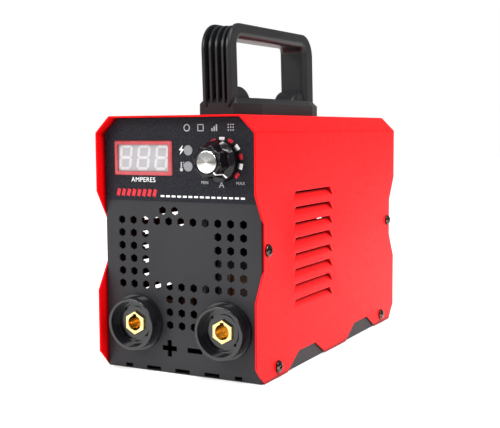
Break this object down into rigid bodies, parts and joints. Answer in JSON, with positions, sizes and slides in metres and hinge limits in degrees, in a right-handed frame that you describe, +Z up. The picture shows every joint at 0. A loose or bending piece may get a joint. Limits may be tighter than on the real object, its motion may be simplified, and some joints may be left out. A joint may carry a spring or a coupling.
{
  "type": "stick welder",
  "caption": "Small inverter stick welder: red bent-sheet cover with louvres over a black chassis, ribbed top handle, dial and meter panel, and bayonet output sockets.",
  "frame": {"origin": "bottom centre of the casing, on the surface it stands on", "axes": "+Z up, -Y out of the front panel, +X to the right seen from the front; +Y is the longest extent"},
  "size_m": [0.115, 0.2546, 0.2153],
  "materials": {
    "chassis_powder_coat": "semi-matt powder coat",
    "cover_red_enamel": "satin baked enamel",
    "screw_nickel": "nickel plated",
    "zinc_plated_steel": "zinc plated",
    "handle_nylon": "satin moulded nylon",
    "label_film": "fine-grained printed film",
    "bezel_red_abs": "moulded",
    "display_resin": "cast resin face",
    "led_lens": "diffused lens",
    "circuit_board": "solder mask",
    "potentiometer_metal": "turned",
    "knob_black_abs": "glossy moulded",
    "spun_aluminium": "spun face",
    "socket_nylon": "satin moulded",
    "machined_brass": "turned brass",
    "copper_bar": "bare copper",
    "extruded_aluminium": "extruded",
    "device_epoxy": "moulded epoxy",
    "ferrite": "sintered",
    "winding_tape": "polyimide tape",
    "enamelled_copper": "enamelled wire",
    "capacitor_sleeve": "shrunk sleeve",
    "relay_case": "moulded",
    "fan_plastic": "moulded",
    "switch_plastic": "moulded",
    "rocker_plastic": "moulded",
    "gland_nylon": "moulded",
    "lead_sleeve": "PVC sleeve"
  },
  "bodies": {
    "case": {"auxiliary_transformer": "winding_tape", "board_screws": "zinc_plated_steel", "board_standoffs": "zinc_plated_steel", "bridge_rectifier": "device_epoxy", "bulk_capacitors": "capacitor_sleeve", "cable_gland": "gland_nylon", "cable_gland_nut": "gland_nylon", "chassis": "chassis_powder_coat", "choke_core": "ferrite", "choke_winding": "enamelled_copper", "control_board": "circuit_board", "control_board_screws": "zinc_plated_steel", "control_board_spacers": "zinc_plated_steel", "control_cable": "lead_sleeve", "control_label": "label_film", "cover": "cover_red_enamel", "cover_screws": "screw_nickel", "display_bezel": "bezel_red_abs", "display_module": "display_resin", "driver_board": "circuit_board", "earth_bolt": "zinc_plated_steel", "earth_nuts": "zinc_plated_steel", "fan_frame": "fan_plastic", "fan_nuts": "zinc_plated_steel", "fan_screws": "zinc_plated_steel", "handle": "handle_nylon", "handle_screws": "zinc_plated_steel", "heatsink_left": "extruded_aluminium", "heatsink_right": "extruded_aluminium", "main_board": "circuit_board", "negative_busbar": "copper_bar", "negative_socket_body": "socket_nylon", "negative_socket_contact": "machined_brass", "negative_socket_nut": "machined_brass", "negative_terminal_bolt": "machined_brass", "output_diodes": "device_epoxy", "overheat_led": "led_lens", "positive_busbar": "copper_bar", "positive_socket_body": "socket_nylon", "positive_socket_contact": "machined_brass", "positive_socket_nut": "machined_brass", "positive_terminal_bolt": "machined_brass", "potentiometer_body": "potentiometer_metal", "potentiometer_nut": "zinc_plated_steel", "power_led": "led_lens", "power_switch_body": "switch_plastic", "soft_start_relay": "relay_case", "switch_leads": "lead_sleeve", "switching_transistors": "device_epoxy", "transformer_core": "ferrite", "transformer_winding": "winding_tape"},
    "dial": {"knob": "knob_black_abs", "knob_cap": "spun_aluminium", "potentiometer_shaft": "potentiometer_metal"},
    "fan": {"fan_rotor": "fan_plastic"},
    "rocker": {"power_rocker": "rocker_plastic"}
  },
  "joints": [
    {"name": "dial_turn", "type": "hinge", "parent": "case", "child": "dial", "pos_m": [0.0289, -0.118, 0.129], "axis": [0, -1, 0], "range_deg": [0, 300]},
    {"name": "fan_spin", "type": "hinge", "parent": "case", "child": "fan", "pos_m": [0, 0.095, 0.1], "axis": [0, 1, 0], "continuous": true},
    {"name": "rocker_tilt", "type": "hinge", "parent": "case", "child": "rocker", "pos_m": [-0.027, 0.107, 0.032], "axis": [1, 0, 0], "range_deg": [0, 20]}
  ]
}
